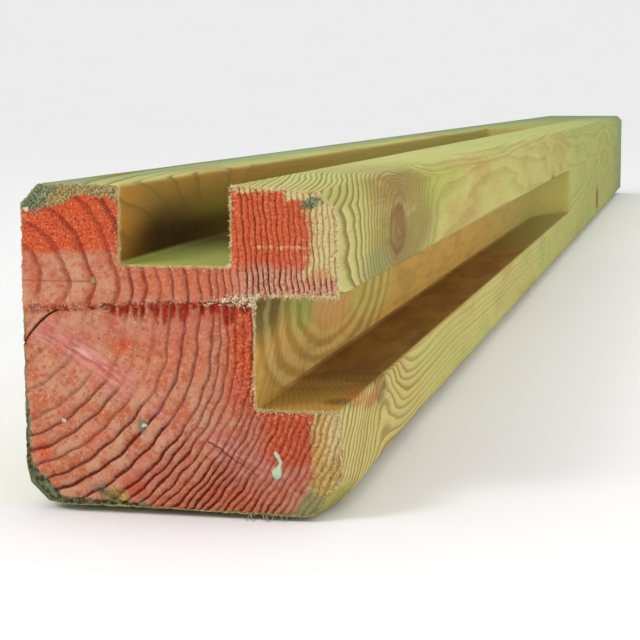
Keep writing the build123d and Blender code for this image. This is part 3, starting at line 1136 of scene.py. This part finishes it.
def knot_layer(finish, base, colours):
    """The knots: the shadow round each, its core with a few rings of its own, and its bark."""
    across, along, up = finish.across, finish.along, finish.up
    for knot in KNOTS:
        *_, half, darkness = knot
        darkness = fade(across, 60, 92) * darkness
        wobble = (finish.noise(0.16, 3.0) - 0.5) * 3.0
        off = knot_distance(across, along, up, knot) + wobble
        shadow = fade(off, half * 2.6, half * 0.9)
        base = base.under(shadow * 0.45 * darkness, 140, 106, 52)
        core = finish.mixed(fade(sine(off * 2.2), -0.2, 0.9) * 0.5, colours.knot_wood, screen(150, 108, 56))
        base = base.under(fade(off, half * 1.25, half * 0.75) * 0.8 * darkness, core)
        bark = fade(size_of(off - half), half * 0.34, half * 0.06)
        base = base.under(bark * 0.5 * darkness, 76, 50, 20)
    return base


def treated_faces(colours):
    """The planed faces: green-treated softwood, its rings drawn out along the grain, browner in the slots,
    partly as painted shade.
    """
    finish = Finish("treated_planed_timber")
    across, along, up = finish.across, finish.along, finish.up
    fibre = finish.noise(1.5, 3.0, 0.65, stretch=(1, 0.03, 1))
    pores = finish.noise(4.2, 2.0, 0.5, stretch=(1, 0.05, 1))
    cloud = finish.noise(0.02, 4.0, 0.55, stretch=(1, 0.3, 1))
    patch = finish.noise(0.035, 3.0, 0.5, stretch=(1, 0.22, 1))
    shade = finish.noise(0.1, 4.0, 0.6, stretch=(1, 0.2, 1))
    reach = grown_reach(across, along, up)
    jitter = (finish.noise(0.35, 3.0, 0.6, stretch=(1, 0.1, 1)) - 0.5) * 0.6
    line, lead = shaded_lines(finish, reach + jitter, 0.9)

    light = finish.mixed(fade(cloud, 0.42, 0.62), colours.early_wood, screen(200, 192, 112))
    light = light.under(fade(patch, 0.52, 0.68) * 0.5, colours.tan_wood)
    light = light.under(fade(patch, 0.46, 0.34) * 0.5, colours.green_stain)
    dark = finish.mixed(fade(patch, 0.45, 0.65), colours.late_wood, screen(150, 114, 54))

    # What the photo shows near the painted end: a brown zone round the big knot, green and lime patches
    right = fade(across, 92.5, 93.5)
    zone = finish.patch((90.0, 122.0, 80.0), (26.0, 84.0, 32.0), 2.4)
    zone = zone * fade(shade, 0.3, 0.5) * fade(along, 28.0, 56.0)
    light = light.under(zone * 0.75, 146, 124, 64)
    teal = finish.patch((94.0, 62.0, 66.0), (30.0, 34.0, 7.5), 2.0)
    light = light.under(teal * 0.6, 132, 152, 104)
    lime = finish.patch((94.0, 205.0, 86.0), (20.0, 85.0, 14.0), 1.6)
    light = light.under(lime * 0.55, 178, 186, 76)
    top_left = fade(across, 32.0, 4.0) * fade(up, 86.0, 93.0)
    light = light.under(top_left * 0.55, colours.mint_stain)
    light = light.under(fade(along, 300.0, 1200.0) * 0.6, 152, 166, 88)
    light = light.under(fade(up, 92.0, 93.6) * fade(across, 60.0, 66.0) * 0.6, 210, 220, 136)
    light = light.under(right * fade(along, 60.0, 8.0) * 0.35, 232, 226, 158)
    light = light.under(fade(up, 33.0, 28.0) * right * fade(along, 240.0, 60.0) * 0.7, 224, 212, 128)
    rims = larger(fade(up, 90.0, 93.0) * fade(across, 30.0, 2.0), fade(along, 1500.0, 1800.0) * 0.8)
    light = light.under(rims * 0.75, 104, 150, 106)
    light = light.under(fade(up, 92.0, 93.6) * fade(along, 1100.0, 1700.0) * 0.7, 112, 156, 112)

    # Slots are browner, partly as painted shade, and the floor of the side slot is darkest, as painted shade
    # on darker wood
    top_slot = fade(across, 29.4, 29.9) * fade(across, 63.2, 62.7)
    top_slot = top_slot * fade(up, 69.8, 70.4) * fade(up, 94.2, 92.6)
    side_slot = fade(across, 68.9, 69.4) * fade(across, 94.2, 92.8)
    side_slot = side_slot * fade(up, 29.2, 29.7) * fade(up, 63.4, 62.9)
    # Share of the painted shadow in the top slot, growing deeper in the slot and farther from the painted end
    top_slot_shadow = top_slot * fade(along + (94.0 - up) * 2.2, 20.0, 66.0) * fade(up, 93.0, 77.0)
    walls = slot_tone_and_shade(finish, colours, shade, top_slot, side_slot, top_slot_shadow)
    inside = larger(top_slot, side_slot)
    light = light.under(inside, walls)
    dark = dark.under(inside, colours.slot_line_and_shade)

    clear = (fade(along, 240.0, 20.0) * 0.77 + 0.25) * (1 - top_slot * 0.7) * (1 - top_slot_shadow)
    clear = clear * (1 - side_slot * 0.82)
    base = finish.mixed(lead * clear * 0.6, light, dark)
    base = base.under(smaller(line * clear * (fibre * 0.5 + 0.7), 1), dark)
    base = base.under(fade(fibre, 0.46, 0.3) * (0.3 - inside * 0.15), dark)
    base = base.under(fade(fibre, 0.56, 0.74) * (0.28 - inside * 0.2), 218, 212, 142)

    base = knot_layer(finish, base, colours)
    for middle, size, tone in BURNT_MARKS:
        base = base.under(finish.patch(middle, size, 2.0) * fade(fibre, 0.3, 0.5) * 0.66, *tone)

    mould = fade(across + up, 14.0, 10.0) * fade(along + (fibre - 0.5) * 6.0, 9.0, 4.5)
    mould_tone = finish.mixed(fade(pores, 0.4, 0.6), colours.dark_lichen, colours.teal_lichen)
    base = base.under(mould * 0.9, mould_tone)
    torn = fade(along + (pores - 0.5) * 3.0, 2.4, 0.4) * (1 - mould)
    base = base.under(torn * 0.5, colours.torn_fibre)
    # Painted shade inside the drying check on the left face
    base = base.under(finish.written("crack"), 62, 36, 14)
    height = fibre * 0.5 + pores * 0.25 - line * 0.4
    return finish.surface(base, 0.6 + fibre * 0.25, height, 0.25)


def bare_end(colours):
    """The other end: sawn and treated, with no paint."""
    finish = Finish("bare_end_grain")
    across, up = finish.across, finish.up
    fine = finish.noise(1.4, 3.0, 0.65)
    cloud = finish.noise(0.05, 3.0)
    jitter = (finish.noise(0.35, 3.0, 0.6) - 0.5) * 0.6
    line, lead = shaded_lines(finish, grown_reach(across, finish.along, up) + jitter, 0.9)
    base = finish.mixed(fade(cloud, 0.4, 0.62), screen(190, 176, 108), colours.green_stain)
    base = base.under(fade(fine, 0.5, 0.7) * 0.5, colours.torn_fibre)
    base = base.under(lead * 0.25, colours.bare_line)
    base = base.under(line * 0.75, 120, 96, 44)
    saw = sine(across * 1.7 + up * 0.5 + cloud * 6)
    height = fine * 0.6 + saw * 0.2 - line * 0.4
    return finish.surface(base, 0.8 + fine * 0.15, height, 0.3)


def side_check(along, up, sizes):
    """How deep in the drying check a place on the left face lies, from 0 to 1."""
    share = along / (sizes.check_run / MM)
    if share >= 1:
        return 0.0
    line = sizes.check_low / MM + 0.5 * grain(0, along, 1, 14.0) * fade(along, 0, 6)
    gape = 0.4 * (1 - share) + 0.05
    return 1 - fade(abs(up - line), gape * 0.6, gape * 1.6)


def mark_cracks(bm, sizes):
    """Writes on each point how deep in a crack it lies, for the painted shade inside the cracks."""
    crack = bm.verts.layers.float.new("crack")
    check, hair = check_line(sizes), hairline()
    for vert in bm.verts:
        across, along, up = measured(vert.co)
        if along < 0.01:
            vert[crack] = max(opening(check, across, up), 0.7 * opening(hair, across, up))
        elif across < 0.01:
            vert[crack] = side_check(along, up, sizes)


def by_crack(sizes, reach):
    """Chooses points beside the cracks, within that reach in mm."""
    points = check_line(sizes) + hairline()
    low = sizes.check_low / MM

    def chosen(co):
        across, along, up = measured(co)
        if along < 0.01:
            return any(abs(a - across) < reach and abs(b - up) < reach for a, b, _ in points)
        return across < 0.01 and along < sizes.check_run / MM and abs(up - low) < reach + 0.4
    return chosen


def as_object(bm, name, materials, smooth=False):
    """Turns a modelled shape into an object of the scene."""
    for face in bm.faces:
        face.smooth = smooth
    mesh = bpy.data.meshes.new(name)
    bm.to_mesh(mesh)
    bm.free()
    for material in materials:
        mesh.materials.append(material)
    made = bpy.data.objects.new(name, mesh)
    bpy.context.scene.collection.objects.link(made)
    return made


def finished(bm, name, materials, smooth=False):
    """Turns a modelled piece into an object that rides on the post."""
    piece = as_object(bm, name, materials, smooth)
    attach(piece, "root")
    return piece


# Edges that turn by more than this stay sharp
SHARP = math.radians(50)


class POST_OT_timber(bpy.types.Operator):
    """Models the post itself from its section and gives it its finishes"""
    bl_idname = "post.timber"
    bl_label = "Timber"

    def execute(self, context):
        sizes, mesh, colours = context.scene.post_sizes, context.scene.post_mesh, context.scene.post_colours
        bm = bmesh.new()
        section_face(bm, sizes)
        divide_section(bm, sizes, mesh)
        around = measure_girth(bm)
        extrude_post(bm, sizes, mesh)
        end_slots(bm, sizes)
        for run in (mesh.fine_run, mesh.finest_run):
            refine(bm, lambda co: co.y - NEAR_END < run + 1e-5)
        for reach in (1.3, 0.8):
            refine(bm, by_crack(sizes, reach))
        mark_cracks(bm, sizes)
        unroll(bm, around, mesh)
        carve(bm, sizes)
        bm.normal_update()
        for edge in bm.edges:
            if len(edge.link_faces) == 2 and edge.calc_face_angle() > SHARP:
                edge.smooth = False
        finishes = [painted_end(colours), treated_faces(colours), bare_end(colours)]
        timber = finished(bm, "timber", finishes, smooth=True)
        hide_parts("post")
        return {"FINISHED"}


# Stretches of the painted end where the saw left torn wood: across from and to, up from and to, in mm,
# how much of it, how long the fibres are, and which way they lean, across and up
FRAYED = (
    ((69.0, 95.0), (60.8, 64.6), 1.0, 1.5, (0.2, -0.9)),
    ((55.0, 70.0), (58.0, 64.0), 0.6, 1.3, (-0.6, -0.2)),
    ((61.4, 64.4), (71.0, 95.0), 0.9, 0.8, (-0.8, 0.1)),
    ((62.0, 92.5), (90.5, 95.0), 0.7, 0.8, (0.1, 0.8)),
    ((30.0, 62.6), (68.5, 71.6), 0.55, 0.6, (0.1, 0.8)),
    ((27.5, 30.8), (71.0, 94.5), 0.35, 0.6, (0.7, 0.1)),
    ((67.6, 70.6), (30.0, 61.0), 0.7, 0.7, (0.8, 0.1)),
    ((70.0, 96.0), (28.0, 31.2), 0.95, 1.1, (0.1, 0.8)),
    ((91.5, 97.0), (8.0, 30.5), 0.95, 1.3, (0.9, 0.0)),
    ((91.0, 97.0), (62.0, 88.0), 0.8, 1.0, (0.9, 0.1)),
    ((85.0, 97.0), (86.0, 95.0), 0.9, 0.9, (0.6, 0.6)),
    ((-1.0, 30.0), (91.8, 95.5), 0.5, 0.6, (0.0, 0.8)),
    ((78.0, 97.0), (-2.0, 12.0), 0.7, 0.9, (0.6, -0.5)),
    ((60.0, 86.0), (-2.0, 0.8), 0.8, 1.1, (0.0, -0.7)),
    ((9.0, 60.0), (-2.0, 0.6), 0.3, 0.5, (0.0, -0.5)),
    ((-1.0, 0.8), (8.0, 90.0), 0.2, 0.4, (-0.6, 0.0)),
)
# Splinters that hang from the bottom edge, as how far across they grow and how long they are, in mm
SPLINTERS = (
    (67.0, 1.9), (67.6, 1.6), (68.4, 1.2), (71.2, 1.3), (72.4, 1.6), (74.6, 1.0), (77.6, 1.3), (78.6, 1.0))


def end_points(reach):
    """Points of the finished timber's painted end within that reach of its rim, in mm."""
    timber = bpy.data.objects["timber"].data
    rims = timber.attributes["rim"].data
    on_end = sorted({i for face in timber.polygons if face.material_index == PAINTED for i in face.vertices})
    return [timber.vertices[i].co.copy() for i in on_end if rims[i].value < reach]


def add_fibre(bm, base, way, long, thick):
    """One torn fibre: a thin pointed sliver that grows out of the wood."""
    turn = way.to_track_quat("Z", "Y").to_matrix().to_4x4()
    middle = base + way.normalized() * long * 0.4 * MM
    bmesh.ops.create_cone(
        bm, cap_ends=True, segments=3, radius1=thick * MM, radius2=thick * 0.2 * MM, depth=long * MM,
        matrix=Matrix.Translation(middle) @ turn)


def add_tuft(bm, base, size, chance):
    """One lump of torn grain, squashed and turned at random."""
    turn = Euler([chance.uniform(0, math.tau) for _ in range(3)]).to_matrix().to_4x4()
    squash = [chance.uniform(*span) for span in ((0.6, 1.6), (0.6, 1.2), (0.4, 0.9))]
    bmesh.ops.create_icosphere(
        bm, subdivisions=1, radius=size * MM,
        matrix=Matrix.Translation(base) @ turn @ Matrix.Diagonal((*squash, 1)))


def frayed_rim(bm, mesh, chance):
    """Grows fibres and lumps of torn grain along the rims of the painted end."""
    for co in end_points(0.75):
        across, _, up = measured(co)
        for (left, right), (low, high), much, long, lean in FRAYED:
            if not (left < across < right and low < up < high):
                continue
            if chance.random() < much * 0.55:
                size = chance.uniform(0.15, 0.45) * (0.6 + 0.6 * much)
                add_tuft(bm, co + Vector((0, -0.05 * MM, 0)), size, chance)
            for _ in range(int(mesh.fibres * much + chance.random())):
                aside = lean[0] + chance.gauss(0, 0.6)
                out = -chance.uniform(-0.1, 0.9)
                way = Vector((aside, out, lean[1] + chance.gauss(0, 0.6)))
                share = chance.random() ** 1.8
                add_fibre(bm, co, way, long * (0.4 + 1.1 * share), chance.uniform(0.09, 0.2))
            break
    for place, long in SPLINTERS:
        rim = [(co, *measured(co)) for co in end_points(0.4)]
        nearest = min(rim, key=lambda point: abs(point[1] - place) + 3 * abs(point[3]))[0]
        way = Vector((chance.gauss(0.0, 0.3), -0.9, -0.75))
        add_fibre(bm, nearest, way, long * 2.2, 0.42)


def crumbs_on_step(bm, sizes, chance):
    """Scatters crumbs of torn wood along the step between both passes of the saw."""
    for co in end_points(100):
        across, _, up = measured(co)
        over = up - step_height(across, sizes)
        much = 0.04 + 0.8 * fade(across, 53, 60) + 0.4 * fade(abs(across - 25.0), 2.5, 0.5)
        much += 0.4 * fade(abs(across - 55.5), 2.0, 0.6)
        reach = 1.0 + 1.6 * fade(across, 56, 68)
        if -reach * 0.5 < over < reach and 6 < across < 70 and chance.random() < much * 0.42:
            size = chance.uniform(0.14, 0.45) * (1 + 0.7 * fade(across, 52, 62))
            add_tuft(bm, co + Vector((0, -0.08 * MM, 0)), size, chance)
            if chance.random() < 0.6:
                way = Vector((chance.gauss(-0.3, 0.8), -chance.uniform(0.1, 0.8), chance.gauss(-0.1, 0.7)))
                add_fibre(bm, co, way, chance.uniform(0.6, 1.8), chance.uniform(0.09, 0.18))


def torn_wood(colours):
    """Pale torn fibres: straw at the rims, greener on the outer corners, reddened by paint."""
    finish = Finish("torn_wood")
    across, up = finish.across, finish.up
    fine = finish.noise(1.1, 3.0, 0.7)
    grit = finish.noise(2.3, 2.0, 0.6)
    base = finish.mixed(fade(fine, 0.35, 0.62), screen(196, 176, 116), colours.torn_fibre)
    base = base.under(fade(grit, 0.55, 0.66) * 0.8, 246, 236, 204)
    base = base.under(fade(fine, 0.46, 0.34) * 0.8, 150, 108, 52)
    painted = fade(across, 92, 80) * fade(finish.noise(0.5, 2.0), 0.5, 0.58)
    base = base.under(painted * 0.6, 206, 110, 76)
    bleached = fade(across, 48, 54) * fade(across, 72, 68) * fade(up, 66, 63) * fade(up, 54, 57)
    base = base.under(bleached * fade(fine, 0.44, 0.56) * 0.8, 246, 240, 222)
    green = fade(across, 34, 24) * fade(up, 60, 80) + fade(up, 7, 2) + fade(across, 4, 1)
    growing = finish.mixed(fade(grit, 0.45, 0.6), screen(92, 96, 58), colours.lichen)
    base = base.under(smaller(green, 1) * 0.75, growing)
    return finish.surface(base, 0.85 + grit * 0.1, grit, 0.1)


def mint_paint(colours):
    """Masonry paint that ran and dried: pale mint, a little dusty."""
    finish = Finish("mint_paint")
    cloud = finish.noise(0.7, 3.0, 0.6)
    base = finish.mixed(fade(cloud, 0.4, 0.62), screen(186, 206, 172), colours.drip)
    base = base.under(fade(finish.noise(2.2, 2.0), 0.6, 0.7) * 0.6, 160, 168, 136)
    return finish.surface(base, 0.45 + cloud * 0.2, cloud, 0.12)


class POST_OT_fibres(bpy.types.Operator):
    """Grows torn fibres on the rims of the painted end and splinters on its bottom edge"""
    bl_idname = "post.fibres"
    bl_label = "Torn fibres"

    def execute(self, context):
        mesh, colours = context.scene.post_mesh, context.scene.post_colours
        bm = bmesh.new()
        frayed_rim(bm, mesh, random.Random(mesh.seed))
        finished(bm, "torn_fibres", [torn_wood(colours)])
        return {"FINISHED"}


class POST_OT_crumbs(bpy.types.Operator):
    """Scatters torn crumbs along the saw step"""
    bl_idname = "post.crumbs"
    bl_label = "Crumbs"

    def execute(self, context):
        sizes, mesh, colours = context.scene.post_sizes, context.scene.post_mesh, context.scene.post_colours
        bm = bmesh.new()
        crumbs_on_step(bm, sizes, random.Random(mesh.seed + 1))
        finished(bm, "step_crumbs", [torn_wood(colours)])
        return {"FINISHED"}


# The drip: how far across and up its lower end lies, how long it is, and the half widths of its foot, head
# and neck, in mm
DRIP_ACROSS, DRIP_UP, DRIP_LONG = 75.3, 10.3, 7.9
DRIP_FOOT, DRIP_HEAD, DRIP_NECK = 1.42, 0.72, 0.52


class POST_OT_drip(bpy.types.Operator):
    """Models the drip of mint paint on the lower lip: a head, a bent neck and a round foot"""
    bl_idname = "post.drip"
    bl_label = "Drip"

    def execute(self, context):
        sizes, colours = context.scene.post_sizes, context.scene.post_colours
        bm = bmesh.new()
        bmesh.ops.create_uvsphere(bm, u_segments=20, v_segments=30, radius=1)
        for vert in bm.verts:
            share = (vert.co.z + 1) / 2
            foot = DRIP_FOOT * math.sqrt(max(0, 1 - ((share - 0.235) / 0.235) ** 2))
            head = DRIP_HEAD * math.sqrt(max(0, 1 - ((share - 0.86) / 0.14) ** 2))
            neck = DRIP_NECK * fade(share, 0.3, 0.4) * fade(share, 0.97, 0.85)
            half = max(foot, head, neck)
            ring = math.hypot(vert.co.x, vert.co.y) or 1
            bend = 1.1 * math.exp(-((share - 0.6) / 0.17) ** 2) - 0.3 * fade(share, 0.85, 1)
            vert.co = Vector((
                vert.co.x / ring * half + bend + DRIP_ACROSS,
                vert.co.y / ring * half * 0.55,
                share * DRIP_LONG + DRIP_UP))
            vert.co = vert.co * MM + Vector((LEFT_FACE, NEAR_END + sizes.saw_step + 0.05 * MM, 0))
            settle_end(vert.co)
        finished(bm, "mint_drip", [mint_paint(colours)], smooth=True)
        return {"FINISHED"}


# The floor reaches this far each way, is level out to FLOOR_LEVEL and curves up beyond it, in metres. It lies
# lower than the post by the room that the splinters on the bottom edge take.
FLOOR_REACH = 20
FLOOR_LEVEL = 5
FLOOR_RISE = 0.06
SPLINTER_ROOM = 2.2 * MM

# How bright the white surroundings are
SKY = 0.95


class POST_OT_stage(bpy.types.Operator):
    """Sets the pale floor, the soft light and the camera"""
    bl_idname = "post.stage"
    bl_label = "Stage"

    def execute(self, context):
        scene = context.scene
        bm = bmesh.new()
        bmesh.ops.create_grid(bm, x_segments=64, y_segments=64, size=FLOOR_REACH)
        for vert in bm.verts:
            beyond = max(0.0, math.hypot(vert.co.x, vert.co.y) - FLOOR_LEVEL)
            vert.co.z = FLOOR_RISE * beyond * beyond - SPLINTER_ROOM
        finish = Finish("pale_floor")
        cloud = finish.noise(0.004, 3.0)
        tone = finish.mixed(cloud, (0.91, 0.91, 0.91), (0.94, 0.94, 0.94))
        floor = as_object(bm, "floor", [finish.surface(tone, 0.9, cloud, 0.1)], smooth=True)

        world = bpy.data.worlds.new("studio")
        world.use_nodes = True
        background = world.node_tree.nodes["Background"]
        background.inputs["Color"].default_value = (1, 1, 1, 1)
        background.inputs["Strength"].default_value = SKY
        scene.world = world

        def lamp(name, place, target, size, watts):
            data = bpy.data.lights.new(name, "AREA")
            data.size = size
            data.energy = watts
            made = bpy.data.objects.new(name, data)
            made.location = place
            aim = Vector(target) - Vector(place)
            made.rotation_euler = aim.to_track_quat("-Z", "Y").to_euler()
            scene.collection.objects.link(made)

        painted = (0, NEAR_END, HALF_SIDE)
        right_face = (HALF_SIDE, NEAR_END + 0.6, HALF_SIDE)
        lamp("key_light", (-0.9, NEAR_END - 1.1, 1.2), painted, 0.5, 11)
        lamp("fill_light", (2.1, NEAR_END + 0.6, 0.62), right_face, 1.1, 10.5)

        data = bpy.data.cameras.new("camera")
        data.lens = CAMERA_LENS
        data.sensor_width = CAMERA_SENSOR
        data.clip_start = 0.01
        camera = bpy.data.objects.new("camera", data)
        camera.location = CAMERA_PLACE
        camera.rotation_euler = Euler([math.radians(a) for a in CAMERA_TURN])
        scene.collection.objects.link(camera)
        scene.camera = camera
        scene.view_settings.view_transform = "Standard"
        return {"FINISHED"}


class POST_PT_panel(bpy.types.Panel):
    """Lists the steps that dress the post"""
    bl_idname = "POST_PT_panel"
    bl_label = "Corner Post"
    bl_space_type = "VIEW_3D"
    bl_region_type = "UI"
    bl_category = "Corner Post"

    def draw(self, context):
        for step in STEPS:
            self.layout.operator(step.bl_idname)


STEPS = (POST_OT_timber, POST_OT_fibres, POST_OT_crumbs, POST_OT_drip, POST_OT_stage)
CLASSES = (PostSizes, PostMesh, PostColours, *STEPS, POST_PT_panel)


def register():
    for cls in CLASSES:
        bpy.utils.register_class(cls)
    bpy.types.Scene.post_sizes = PointerProperty(type=PostSizes)
    bpy.types.Scene.post_mesh = PointerProperty(type=PostMesh)
    bpy.types.Scene.post_colours = PointerProperty(type=PostColours)


def unregister():
    del bpy.types.Scene.post_colours
    del bpy.types.Scene.post_mesh
    del bpy.types.Scene.post_sizes
    for cls in reversed(CLASSES):
        bpy.utils.unregister_class(cls)


def main():
    register()
    bpy.ops.post.timber()
    bpy.ops.post.fibres()
    bpy.ops.post.crumbs()
    bpy.ops.post.drip()
    bpy.ops.post.stage()


if __name__ == "__main__":
    main()
